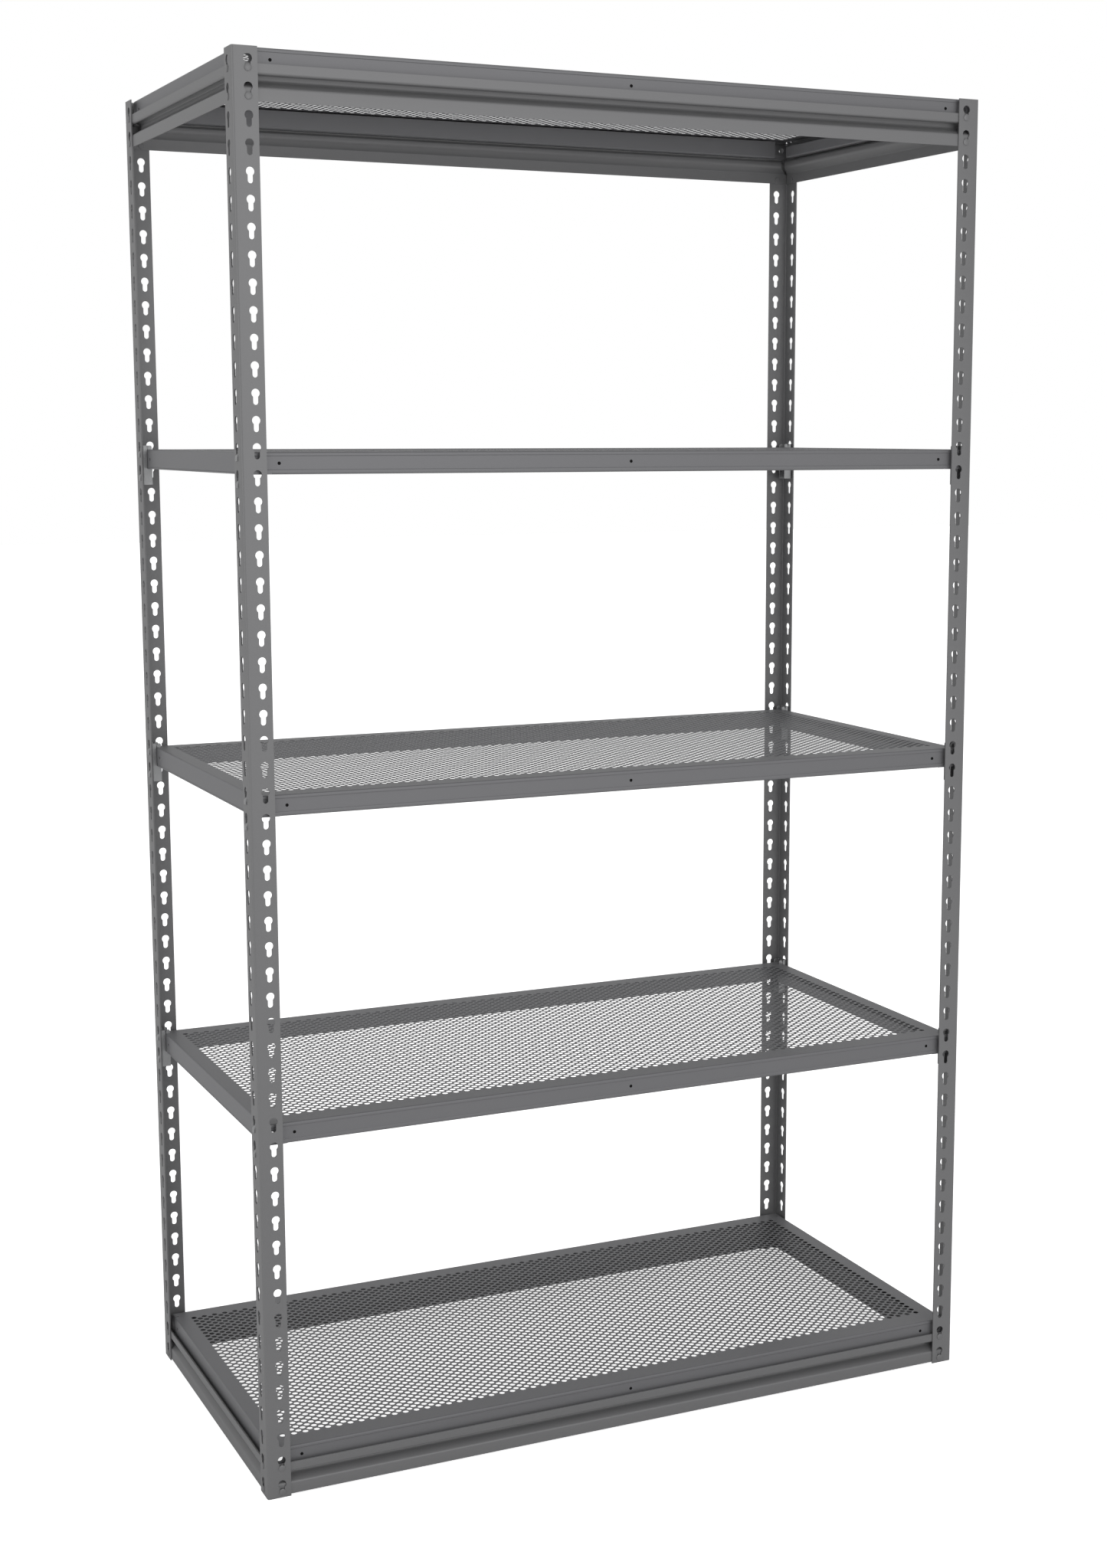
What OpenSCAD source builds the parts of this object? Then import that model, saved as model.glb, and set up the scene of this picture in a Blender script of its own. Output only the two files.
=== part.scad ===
// Boltless steel shelving: four angle posts, two riveted beam frames, five deck pans and twelve shelf clips.
// Millimetres. +Z is up, the front faces -Y. The origin is on the floor at the centre of the footprint.

/* [Overall] */
// Width over the outer faces of the posts
unit_w = 1232; // [760:1:1900]
// Depth over the outer faces of the posts
unit_d = 622.4; // [380:0.2:950]
// Height of the posts
unit_h = 2133.6; // [1700:0.1:3050]

/* [Posts] */
// Width of each flange of the angle post
post_flange = 37; // [32:0.5:50]
// Sheet thickness of the posts
post_t = 2; // [1.5:0.1:2.6]
// Outer radius of the bend along the post's corner
post_bend_r = 3.2; // [3:0.1:5]

/* [Keyholes] */
// Height step from one keyhole to the next
hole_pitch = 38.1; // [30:0.1:50]
// Distance of the keyhole line from the post's corner
hole_inset = 23; // [20:0.5:28]
// Drop from the post's top to the first round opening's centre
hole_first = 16.8; // [14:0.1:22]
// Diameter of the keyhole's round opening
head_d = 12.7; // [11:0.1:14]
// Width of the keyhole's slot
slot_w = 7.94; // [7.6:0.02:9]
// Drop from the round opening's centre to the bottom of the slot
slot_drop = 16.45; // [14:0.05:18]

/* [Beams] */
// Sheet thickness of the beams
beam_t = 1.9; // [1.5:0.1:2.2]
// Height of the flat band above the ledge's rolled lip
band_h = 11.46; // [11:0.02:14]
// Depth of the pressed ledge behind the beam's outer face
bead_depth = 17.45; // [16:0.05:24]
// Drop from the beam's top to the ledge that carries a pan
ledge_drop = 9; // [8:0.1:9.5]
// Gap between a beam's end and the outer face of the post beside it
beam_end_gap = 4.5; // [4.2:0.1:8]
// Clearance between the mitred ends of two ledges
mitre_gap = 4; // [1:0.5:8]

/* [Rivets] */
// Diameter of a rivet's shank
rivet_d = 7.4; // [5:0.1:7.5]
// Diameter of a rivet's outer head
rivet_head_d = 10.6; // [9.6:0.1:12]
// Height of a rivet's outer head
rivet_head_h = 1.7; // [1:0.1:2.5]
// Distance from a rivet to the beam's nearer edge
rivet_edge = 6.35; // [6:0.05:10]

/* [Deck pans] */
// Height of a pan over its flanges
pan_h = 31.75; // [25:0.05:45]
// Sheet thickness of a pan
pan_t = 0.6; // [0.5:0.1:1.2]
// Gap between the post's outer side plane and a pan's side
pan_side_gap = 10.2; // [9.8:0.1:12]
// Gap between the front plane and a pan's front
pan_front_gap = 8; // [6:0.1:9]
// Gap between the back plane and a pan's back
pan_back_gap = 15.6; // [15.6:0.1:18]
// Width of the return under a pan's front and back
return_w = 20; // [12:0.5:30]
// Gap between the top of a return's lip and the deck above it
return_lip_gap = 2; // [1:0.5:12]
// Width of the return under a pan's sides
side_return_w = 20; // [12:0.5:30]
// Height of the lip on a side's return
side_return_lip = 19; // [6:0.5:24]
// Depth that the middle of a pan's front is set in
face_step = 0.8; // [0.3:0.1:1.2]

/* [Shelf levels] */
// Keyhole, counted from the top, that holds the second shelf's clips
level_2_hole = 14; // [4:1:16]
// Keyhole that holds the third shelf's clips
level_3_hole = 27; // [20:1:29]
// Keyhole that holds the fourth shelf's clips
level_4_hole = 40; // [33:1:41]

/* [Clips] */
// Sheet thickness of a clip
clip_t = 1.5; // [1.2:0.1:2]
// Width of a clip between the outer faces of its wings
clip_w = 20; // [18:0.5:22]
// Height of a clip
clip_h = 64; // [60:0.5:70]
// Height of the clip's tips above the deck
clip_rise = 6.3; // [5:0.1:8]
// Length of a wing inboard of the pan's side
wing_in = 7; // [5:0.5:10]
// Height that a hook hangs below the bottom of its slot
hook_hang = 3.05; // [1:0.05:5]

/* [Hidden] */

$fn = 48;
// Largest angle between two points of a bend
bend_step = 11.25;
LEFT = [-1, 0];
UP = [0, 1];
DOWN = [0, -1];
powder_grey = "#77787a";
powder_grey_deck = "#6c6d70";
zinc = "#9a9c9e";

// A cutter runs this far past the faces that it cuts
cut_over = 1;
// Play between a pan's flange and the slot that takes it
flange_play = 0.35;
// Play around a rivet's shank in its beam
rivet_play = 0.05;
// Gap between a clip's web and the post behind it
clip_seat_gap = 0.2;
// Play between a clip's hook and the sheet that it hooks over
hook_play = 0.2;

// Keyholes: the count that fits above the lowest place a beam can take, with the beam just off the floor
hole_bottom_slack = 2;
hole_bottom_min = slot_drop + rivet_edge - hole_bottom_slack;
hole_count = floor((unit_h - hole_first - hole_bottom_min) / hole_pitch) + 1;
// A rivet sits in the round bottom of its slot
rivet_drop = slot_drop - slot_w / 2;
// Two rivets at each beam's end sit in neighbouring keyholes
beam_h = hole_pitch + 2 * rivet_edge;

function hole_z(k) = unit_h - hole_first - k * hole_pitch;
function beam_top_z(k) = hole_z(k) - rivet_drop + rivet_edge;

top_beam_z = beam_top_z(0);
bottom_beam_z = beam_top_z(hole_count - 2);

// Pans: the middle ones hang in clips, the outer ones stand on ledges
top_pan_z = top_beam_z - ledge_drop + pan_h;
bottom_pan_z = bottom_beam_z - ledge_drop + pan_h;
pan_w = unit_w - 2 * pan_side_gap;
pan_d = unit_d - pan_front_gap - pan_back_gap;
pan_bend_r = 2.4;
// Holes in a pan's flanges, measured from the planes of the posts
label_hole_d = 5;
label_hole_inset = 57.6;
lug_hole_d = 9.5;
lug_hole_inset = 22.5;
side_hole_inset = 50;
// The returns stop short of the corners to clear the clips: from the pan's own side, and from the planes
return_end_gap = 36;
side_return_end_gap = 48;
face_step_top = 5;
face_step_bottom = 6;

// Clips: a slot in each wing carries the pan's side flange
wing_slot_w = pan_t + 2 * flange_play;
wing_slot_mid = pan_side_gap + pan_t / 2;
wing_end = pan_side_gap + pan_t + wing_in;
wing_mouth_w = 3 * wing_slot_w;
wing_mouth_h = 4.5;
wing_corner_r = 2.6;
clip_near = hole_inset - clip_w / 2;
clip_far = hole_inset + clip_w / 2;
clip_web_in = post_t + clip_seat_gap;
hook_w = slot_w - 1.4;
hook_wall = 1.4;
hook_out = 2.2;
hook_top = 6.8;
hook_shoulder = 12.2;
// A hook is square, so its two lower corners rest on the round bottom of the slot
hook_seat = rivet_drop + sqrt(pow(slot_w / 2, 2) - pow(hook_w / 2, 2)) - 0.05;

// ---------- helpers ----------

// Puts a piece, drawn at the front left corner, at one of the four corners. sx, sy: -1 left or front, 1 right or back
module at_corner(sx, sy) {
    mirror([sx > 0 ? 1 : 0, 0, 0])
        mirror([0, sy > 0 ? 1 : 0, 0])
            translate([-unit_w / 2, -unit_d / 2, 0])
                children();
}

// Stands a drawing of (inward, up) on the front plane, with its length along X from x0 to x1
module along_front(x0, x1) {
    translate([x0, 0, 0])
        rotate([90, 0, 90])
            linear_extrude(x1 - x0)
                children();
}

// Stands a drawing of (inward, up) on the left plane, with its length along Y from y0 to y1
module along_side(y0, y1) {
    translate([0, y1, 0])
        rotate([90, 0, 0])
            linear_extrude(y1 - y0)
                children();
}

// The points of one bend, moved off the sheet's middle line to its left by off. A bend is
// [centre, radius, start angle, end angle], and it turns left when its angle grows
function bend_points(bend, off) =
    let (turn = bend[3] - bend[2],
         r = bend[1] + (turn > 0 ? -off : off),
         steps = ceil(abs(turn) / bend_step))
    [for (i = [0 : steps])
        bend[0] + r * [cos(bend[2] + turn * i / steps), sin(bend[2] + turn * i / steps)]];

function left_of(heading) = [-heading[1], heading[0]];

// One side of a bent sheet: from a start point through its bends to an end point
function sheet_side(start, heading_in, bends, end, heading_out, off) =
    concat([start + off * left_of(heading_in)],
           [for (bend = bends) each bend_points(bend, off)],
           [end + off * left_of(heading_out)]);

function backwards(points) = [for (i = [len(points) - 1 : -1 : 0]) points[i]];

// The section of a sheet that runs from start to end through a list of bends
module bent_sheet(start, heading_in, bends, end, heading_out, t) {
    polygon(concat(sheet_side(start, heading_in, bends, end, heading_out, t / 2),
                   backwards(sheet_side(start, heading_in, bends, end, heading_out, -t / 2))));
}

function on_circle(centre, r, a) = centre + r * [cos(a), sin(a)];

// ---------- posts ----------

module post_section() {
    mid = post_t / 2;
    corner = [[post_bend_r, post_bend_r], post_bend_r - mid, 270, 180];
    bent_sheet([post_flange, mid], LEFT, [corner], [mid, post_flange], UP, post_t);
}

module keyhole() {
    circle(d = head_d);
    translate([-slot_w / 2, -rivet_drop]) square([slot_w, rivet_drop]);
    translate([0, -rivet_drop]) circle(d = slot_w);
}

// One line of keyholes, cut through a flange that lies on the front plane
module keyhole_line() {
    translate([hole_inset, post_t + cut_over, 0])
        rotate([90, 0, 0])
            linear_extrude(post_t + 2 * cut_over)
                for (k = [0 : hole_count - 1])
                    translate([0, hole_z(k)]) keyhole();
}

module swap_xy() {
    mirror([1, -1, 0]) children();
}

module post(sx, sy) {
    color(powder_grey)
        at_corner(sx, sy)
            difference() {
                linear_extrude(unit_h) post_section();
                keyhole_line();
                swap_xy() keyhole_line();
            }
}

// ---------- beams ----------

// Section of a beam as (inward from the outer face, up from the top edge): a band, a rolled lip, the ledge
// that carries a pan, the ledge's back, a slope back out to the face, and the lower band
module beam_section() {
    t = beam_t;
    face = t / 2;
    lip_r = 2.6;
    crest_r = 1.5;
    shoulder_r = 3.5;
    heel_r = 7;
    toe_r = 3;
    slope = 31;
    land_w = 3.75;
    crest = -ledge_drop - t / 2;
    back = bead_depth - t / 2;

    lip = [face + lip_r, -band_h];
    rise = lip[0] + lip_r;
    crest_in = [rise + crest_r, crest - crest_r];
    crest_out = crest_in + [land_w, 0];
    fall = on_circle(crest_out, crest_r, 45);
    shoulder_x = back - shoulder_r;
    shoulder_start_x = shoulder_x + shoulder_r * cos(45);
    shoulder_start = [shoulder_start_x, fall[1] - (shoulder_start_x - fall[0])];
    shoulder = shoulder_start - shoulder_r * [cos(45), sin(45)];
    heel = [back - heel_r, shoulder[1] - 3.6];
    heel_end = on_circle(heel, heel_r, slope - 90);
    toe_start_x = face + toe_r - toe_r * sin(slope);
    toe_start = [toe_start_x, heel_end[1] - (heel_end[0] - toe_start_x) * tan(slope)];
    toe = toe_start - toe_r * [-sin(slope), cos(slope)];

    bends = [
        [lip, lip_r, 180, 360],
        [crest_in, crest_r, 180, 90],
        [crest_out, crest_r, 90, 45],
        [shoulder, shoulder_r, 45, 0],
        [heel, heel_r, 0, slope - 90],
        [toe, toe_r, 90 + slope, 180],
    ];
    bent_sheet([face, 0], DOWN, bends, [face, -beam_h], DOWN, t);
}

// Two rivet holes at a beam's end, through a beam that lies on the front plane
module beam_rivet_holes(top_z) {
    for (drop = [rivet_edge, beam_h - rivet_edge])
        translate([hole_inset, post_t - cut_over, top_z - drop])
            rotate([-90, 0, 0])
                cylinder(d = rivet_d + 2 * rivet_play, h = beam_t + 2 * cut_over);
}

// The wedge that mitres a ledge's end, seen from above, for a beam that lies on the front plane
module mitre_wedge(top_z) {
    near = post_t + beam_t + 0.05;
    far = post_t + bead_depth + cut_over;
    translate([0, 0, top_z - beam_h - cut_over])
        linear_extrude(beam_h + 2 * cut_over)
            polygon([[0, near], [near + mitre_gap, near], [far + mitre_gap, far], [0, far]]);
}

// One beam between two posts, with its outer face against their inner faces; length is measured over the posts
module beam(length, top_z) {
    difference() {
        along_front(beam_end_gap, length - beam_end_gap)
            translate([post_t, top_z]) beam_section();
        mitre_wedge(top_z);
        beam_rivet_holes(top_z);
        translate([length, 0, 0]) mirror([1, 0, 0]) {
            mitre_wedge(top_z);
            beam_rivet_holes(top_z);
        }
    }
}

module long_beam(sy, top_z) {
    color(powder_grey) at_corner(-1, sy) beam(unit_w, top_z);
}

module short_beam(sx, top_z) {
    color(powder_grey) at_corner(sx, -1) swap_xy() beam(unit_d, top_z);
}

// ---------- rivets ----------

// One rivet along +Y, with its outer head on the front plane
module rivet() {
    head_r = rivet_head_d / 2;
    edge_h = rivet_head_h * 0.45;
    crown = rivet_head_h - edge_h;
    crown_r = (head_r * head_r + crown * crown) / (2 * crown);
    grip = post_t + beam_t;
    tail_r = rivet_d / 2 + 0.9;
    tail_h = 1.1;
    rotate([-90, 0, 0])
        rotate_extrude() {
            translate([0, -edge_h]) square([head_r, edge_h]);
            intersection() {
                translate([0, crown_r - rivet_head_h]) circle(crown_r, $fn = 96);
                translate([0, -rivet_head_h]) square([head_r, crown]);
            }
            square([rivet_d / 2, grip]);
            translate([0, grip]) square([tail_r, tail_h]);
        }
}

module rivets_in_frame(top_z) {
    color(powder_grey)
        for (sx = [-1, 1])
            for (sy = [-1, 1])
                for (drop = [rivet_edge, beam_h - rivet_edge])
                    at_corner(sx, sy) {
                        translate([hole_inset, 0, top_z - drop]) rivet();
                        swap_xy() translate([hole_inset, 0, top_z - drop]) rivet();
                    }
}

// ---------- deck pans ----------

// The two bends of a return under a pan's flange: in at the foot, and up into the lip
function return_bends(width) =
    let (r = pan_bend_r - pan_t / 2, foot_z = pan_bend_r - pan_h)
    [[[pan_bend_r, foot_z], r, 180, 270], [[width - pan_bend_r, foot_z], r, 270, 360]];

// Section of a pan's front as (inward from its face, up from the deck's top). Its middle is set in, and
// away from the corners it ends in a return with a lip
module pan_face_section(with_return) {
    t = pan_t;
    mid = t / 2;
    r = pan_bend_r - mid;
    jog_r = 0.7;
    jog_x = [mid + jog_r, mid + face_step - jog_r];
    jog_h = 2 * jog_r * sin(45) + face_step - 2 * jog_r * (1 - cos(45));
    upper = -face_step_top;
    lower = face_step_bottom - pan_h;
    face_bends = [
        [[pan_bend_r, -pan_bend_r], r, 90, 180],
        [[jog_x[0], upper], jog_r, 180, 225],
        [[jog_x[1], upper - jog_h], jog_r, 45, 0],
        [[jog_x[1], lower + jog_h], jog_r, 0, -45],
        [[jog_x[0], lower], jog_r, 135, 180],
    ];
    start = [pan_bend_r + cut_over, -mid];
    lip_end = [return_w - mid, -t - return_lip_gap];
    if (with_return)
        bent_sheet(start, LEFT, concat(face_bends, return_bends(return_w)), lip_end, UP, t);
    else
        bent_sheet(start, LEFT, face_bends, [mid, -pan_h], DOWN, t);
}

// The bend and flange at a pan's side, which also ends in a return away from the corners
module pan_side_section(with_return) {
    mid = pan_t / 2;
    corner = [[pan_bend_r, -pan_bend_r], pan_bend_r - mid, 90, 180];
    start = [pan_bend_r + cut_over, -mid];
    lip_end = [side_return_w - mid, side_return_lip - pan_h];
    if (with_return)
        bent_sheet(start, LEFT, concat([corner], return_bends(side_return_w)), lip_end, UP, pan_t);
    else
        bent_sheet(start, LEFT, [corner], [mid, -pan_h], DOWN, pan_t);
}

// A round hole along Y through a flange on the front plane, at mid height
module face_hole(x, d) {
    translate([x, -cut_over, -pan_h / 2])
        rotate([-90, 0, 0])
            cylinder(d = d, h = pan_bend_r + 2 * cut_over);
}

// The slots in the deck that a front corner's clip stands through, from the pan's own corner
module wing_slots(plane_gap) {
    long = wing_in + flange_play;
    for (wing = [clip_near, clip_far - clip_t])
        if (wing > plane_gap + pan_bend_r)
            translate([pan_t, wing - plane_gap - flange_play, -pan_bend_r])
                cube([long, clip_t + 2 * flange_play, pan_bend_r + cut_over]);
}

// The upright corner where two flanges meet, under the notch that lets both bends be made
module pan_corner() {
    translate([0, 0, -pan_h]) {
        cube([pan_t, pan_bend_r, pan_h - pan_bend_r]);
        cube([pan_bend_r, pan_t, pan_h - pan_bend_r]);
    }
}

// A pan with its front left corner at the origin and its deck's top at zero height
module pan() {
    label_x = label_hole_inset - pan_side_gap;
    lug_x = lug_hole_inset - pan_side_gap;
    difference() {
        union() {
            translate([pan_bend_r, pan_bend_r, -pan_t])
                cube([pan_w - 2 * pan_bend_r, pan_d - 2 * pan_bend_r, pan_t]);
            for (back = [0, 1])
                translate([0, back * pan_d, 0]) mirror([0, back, 0]) {
                    along_front(pan_bend_r, pan_w - pan_bend_r) pan_face_section(false);
                    along_front(return_end_gap, pan_w - return_end_gap) pan_face_section(true);
                }
            for (right = [0, 1])
                translate([right * pan_w, 0, 0]) mirror([right, 0, 0]) {
                    along_side(pan_bend_r, pan_d - pan_bend_r) pan_side_section(false);
                    along_side(side_return_end_gap - pan_front_gap, pan_d + pan_back_gap - side_return_end_gap)
                        pan_side_section(true);
                }
            for (right = [0, 1])
                for (back = [0, 1])
                    translate([right * pan_w, back * pan_d, 0])
                        mirror([right, 0, 0]) mirror([0, back, 0]) pan_corner();
        }
        for (back = [0, 1])
            translate([0, back * pan_d, 0]) mirror([0, back, 0])
                for (right = [0, 1])
                    translate([right * pan_w, 0, 0]) mirror([right, 0, 0]) {
                        face_hole(lug_x, lug_hole_d);
                        wing_slots(back == 0 ? pan_front_gap : pan_back_gap);
                    }
        for (x = [label_x, pan_w / 2, pan_w - label_x])
            face_hole(x, label_hole_d);
        for (right = [0, 1])
            translate([right * pan_w, 0, 0]) mirror([right, 0, 0]) swap_xy()
                for (y = [side_hole_inset - pan_front_gap, pan_d + pan_back_gap - side_hole_inset])
                    face_hole(y, label_hole_d);
    }
}

module shelf(top_z) {
    color(powder_grey_deck)
        translate([pan_side_gap - unit_w / 2, pan_front_gap - unit_d / 2, top_z])
            pan();
}

// ---------- clips ----------

// One wing of a clip as (inward from the side plane, up from the clip's top): a mouth and slot for the flange
module wing_profile() {
    r = wing_corner_r;
    difference() {
        union() {
            translate([clip_web_in, -clip_h]) square([wing_end - clip_web_in, clip_h - r]);
            translate([clip_web_in + r, -r]) circle(r);
            translate([clip_web_in + r, -2 * r]) square([wing_end - clip_web_in - 2 * r, 2 * r]);
            translate([wing_end - r, -r]) circle(r);
        }
        translate([wing_slot_mid - wing_slot_w / 2, -clip_rise - pan_h])
            square([wing_slot_w, clip_rise + pan_h + cut_over]);
        polygon([[wing_slot_mid - wing_mouth_w / 2, cut_over / 2], [wing_slot_mid + wing_mouth_w / 2, cut_over / 2],
                 [wing_slot_mid, -wing_mouth_h - wing_slot_w / 2]]);
    }
}

// A pressed hook as (outward from the side plane, up from its keyhole's centre)
module hook_profile() {
    polygon([[-clip_web_in, -hook_top], [hook_out, -hook_shoulder], [hook_out, -slot_drop - hook_hang],
             [hook_play, -slot_drop - hook_hang], [hook_play, -hook_seat], [-clip_web_in, -hook_seat]]);
}

// The hollow pressed into the back of a hook
module hook_hollow() {
    polygon([[-clip_web_in - clip_t - cut_over, -hook_top - hook_wall], [-clip_web_in, -hook_top - hook_wall],
             [hook_out - hook_wall, -hook_shoulder - 0.5], [hook_out - hook_wall, -hook_seat + hook_wall],
             [-clip_web_in - clip_t - cut_over, -hook_seat + hook_wall]]);
}

// A clip at the front left corner, with its top at zero height
module clip() {
    difference() {
        union() {
            translate([clip_web_in, clip_near, -clip_h]) cube([clip_t, clip_w, clip_h]);
            for (y = [clip_near, clip_far - clip_t])
                along_side(y, y + clip_t) wing_profile();
            for (k = [0, 1])
                translate([0, hole_inset, -k * hole_pitch])
                    mirror([1, 0, 0])
                        along_side(-hook_w / 2, hook_w / 2) hook_profile();
        }
        for (k = [0, 1])
            translate([0, hole_inset, -k * hole_pitch])
                mirror([1, 0, 0])
                    along_side(hook_wall - hook_w / 2, hook_w / 2 - hook_wall) hook_hollow();
    }
}

module shelf_clip(sx, sy, hole) {
    color(zinc) at_corner(sx, sy) translate([0, 0, hole_z(hole)]) clip();
}

// ---------- nodes ----------

post(-1, -1);  // post_front_left
post(1, -1);  // post_front_right
post(-1, 1);  // post_back_left
post(1, 1);  // post_back_right
long_beam(-1, top_beam_z);  // top_beam_front
long_beam(1, top_beam_z);  // top_beam_back
short_beam(-1, top_beam_z);  // top_beam_left
short_beam(1, top_beam_z);  // top_beam_right
long_beam(-1, bottom_beam_z);  // bottom_beam_front
long_beam(1, bottom_beam_z);  // bottom_beam_back
short_beam(-1, bottom_beam_z);  // bottom_beam_left
short_beam(1, bottom_beam_z);  // bottom_beam_right
rivets_in_frame(top_beam_z);  // top_frame_rivets
rivets_in_frame(bottom_beam_z);  // bottom_frame_rivets
shelf(top_pan_z);  // shelf_top
shelf(hole_z(level_2_hole) - clip_rise);  // shelf_2
shelf(hole_z(level_3_hole) - clip_rise);  // shelf_3
shelf(hole_z(level_4_hole) - clip_rise);  // shelf_4
shelf(bottom_pan_z);  // shelf_bottom
shelf_clip(-1, -1, level_2_hole);  // clip_2_front_left
shelf_clip(1, -1, level_2_hole);  // clip_2_front_right
shelf_clip(-1, 1, level_2_hole);  // clip_2_back_left
shelf_clip(1, 1, level_2_hole);  // clip_2_back_right
shelf_clip(-1, -1, level_3_hole);  // clip_3_front_left
shelf_clip(1, -1, level_3_hole);  // clip_3_front_right
shelf_clip(-1, 1, level_3_hole);  // clip_3_back_left
shelf_clip(1, 1, level_3_hole);  // clip_3_back_right
shelf_clip(-1, -1, level_4_hole);  // clip_4_front_left
shelf_clip(1, -1, level_4_hole);  // clip_4_front_right
shelf_clip(-1, 1, level_4_hole);  // clip_4_back_left
shelf_clip(1, 1, level_4_hole);  // clip_4_back_right
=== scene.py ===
import math

import bmesh
import bpy
from bpy.props import FloatProperty, FloatVectorProperty, IntProperty, PointerProperty
from bpy.types import Operator, Panel, PropertyGroup
from mathutils import Euler, Matrix, Vector


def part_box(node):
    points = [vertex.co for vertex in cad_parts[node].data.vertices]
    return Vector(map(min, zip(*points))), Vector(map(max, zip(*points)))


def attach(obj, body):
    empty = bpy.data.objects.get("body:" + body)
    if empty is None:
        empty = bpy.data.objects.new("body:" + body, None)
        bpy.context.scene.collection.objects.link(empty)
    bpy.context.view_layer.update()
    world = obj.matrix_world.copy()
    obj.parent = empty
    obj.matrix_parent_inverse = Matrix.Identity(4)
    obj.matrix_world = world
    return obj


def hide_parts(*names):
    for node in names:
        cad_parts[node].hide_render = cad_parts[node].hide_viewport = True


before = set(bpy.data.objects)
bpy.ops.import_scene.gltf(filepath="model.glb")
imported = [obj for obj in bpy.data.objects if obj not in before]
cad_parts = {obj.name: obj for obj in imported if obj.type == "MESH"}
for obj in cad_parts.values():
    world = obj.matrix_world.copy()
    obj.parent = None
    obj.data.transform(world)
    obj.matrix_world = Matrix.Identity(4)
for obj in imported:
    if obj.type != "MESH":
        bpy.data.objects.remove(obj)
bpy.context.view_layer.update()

bl_info = {
    "name": "Boltless Steel Shelving",
    "version": (1, 0, 0),
    "blender": (4, 5, 0),
    "location": "View3D > Sidebar > Shelving",
    "description": "Angle posts, riveted beam frames, perforated deck pans and hooked shelf clips",
    "category": "Object",
}

# The frame's own places, in metres. The posts' outer faces lie on these planes.
POST_LOW, POST_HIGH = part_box("post_front_left")
HALF_WIDTH = -POST_LOW.x
HALF_DEPTH = -POST_LOW.y
POST_TOP = POST_HIGH.z
POST_FLANGE = POST_HIGH.x - POST_LOW.x
CORNERS = {
    "front_left": (-1, -1),
    "front_right": (1, -1),
    "back_left": (-1, 1),
    "back_right": (1, 1),
}
SHELVES = ("shelf_top", "shelf_2", "shelf_3", "shelf_4", "shelf_bottom")
CLIPPED_SHELVES = ("2", "3", "4")
FRAME_BODY = "frame"

# Sizes that several pieces share, in metres
PAN_BEND = 0.0024
RETURN_WIDTH = 0.02
FACE_STEP = 0.0008
STEP_BEND = 0.0005
LABEL_HOLE = 0.005
LABEL_INSET = 0.0576
LUG_HOLE = 0.0095
LUG_INSET = 0.0225
SIDE_HOLE = 0.005
WING_DEPTH = 0.007
NOTCH_PLAY = 0.00035
CLIP_SEAT_GAP = 0.0002

HOLE_SIDES = 20
FLOOR_GLOW = 0.75
SHARP_ANGLE = math.radians(32)
MERGE = 1e-6


# ---------- sizes and finishes ----------


class ShelvingSizes(PropertyGroup):
    """Sheet sizes of the shelving"""

    post_sheet: FloatProperty(name="Post sheet", description="Sheet thickness of the posts", default=0.002,
                              unit="LENGTH", precision=4)
    post_bend: FloatProperty(name="Post bend", description="Outer radius of the bend along a post", default=0.0032,
                             unit="LENGTH", precision=4)
    keyhole_pitch: FloatProperty(name="Keyhole pitch", description="Height step between keyholes", default=0.0381,
                                 unit="LENGTH", precision=4)
    keyhole_inset: FloatProperty(name="Keyhole inset", description="Keyhole line from the post's corner",
                                 default=0.023, unit="LENGTH", precision=4)
    keyhole_first: FloatProperty(name="First keyhole", description="Post's top to the first round opening",
                                 default=0.0168, unit="LENGTH", precision=4)
    keyhole_head: FloatProperty(name="Keyhole head", description="Diameter of the round opening", default=0.0127,
                                unit="LENGTH", precision=4)
    keyhole_slot: FloatProperty(name="Keyhole slot", description="Width of the slot", default=0.00794,
                                unit="LENGTH", precision=4)
    keyhole_drop: FloatProperty(name="Keyhole drop", description="Round opening's centre to the slot's bottom",
                                default=0.01645, unit="LENGTH", precision=4)
    beam_sheet: FloatProperty(name="Beam sheet", description="Sheet thickness of the beams", default=0.0019,
                              unit="LENGTH", precision=4)
    ledge_drop: FloatProperty(name="Ledge drop", description="Beam's top to the ledge under a pan", default=0.009,
                              unit="LENGTH", precision=4)
    ledge_depth: FloatProperty(name="Ledge depth", description="Depth of the ledge behind the beam's face",
                               default=0.01745, unit="LENGTH", precision=4)
    rivet_head: FloatProperty(name="Rivet head", description="Diameter of a rivet's head", default=0.0106,
                              unit="LENGTH", precision=4)
    rivet_edge: FloatProperty(name="Rivet edge", description="Rivet to the beam's nearer edge", default=0.00635,
                              unit="LENGTH", precision=4)
    pan_sheet: FloatProperty(name="Pan sheet", description="Sheet thickness of the deck pans", default=0.0006,
                             unit="LENGTH", precision=4)
    hole_size: FloatProperty(name="Deck hole", description="Diameter of a hole in the decks", default=0.0092,
                             unit="LENGTH", precision=4)
    hole_across: FloatProperty(name="Hole step across", description="Step between columns of deck holes",
                               default=0.009139, unit="LENGTH", precision=5)
    hole_along: FloatProperty(name="Hole step along", description="Step between rows of deck holes",
                              default=0.007457, unit="LENGTH", precision=5)
    hole_columns: IntProperty(name="Hole columns", description="Columns of holes across a deck", default=127)
    hole_rows: IntProperty(name="Hole rows", description="Rows of holes from front to back", default=71)
    clip_sheet: FloatProperty(name="Clip sheet", description="Sheet thickness of the clips", default=0.0015,
                              unit="LENGTH", precision=4)
    clip_width: FloatProperty(name="Clip width", description="Clip width over its wings", default=0.02,
                              unit="LENGTH", precision=4)


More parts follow.
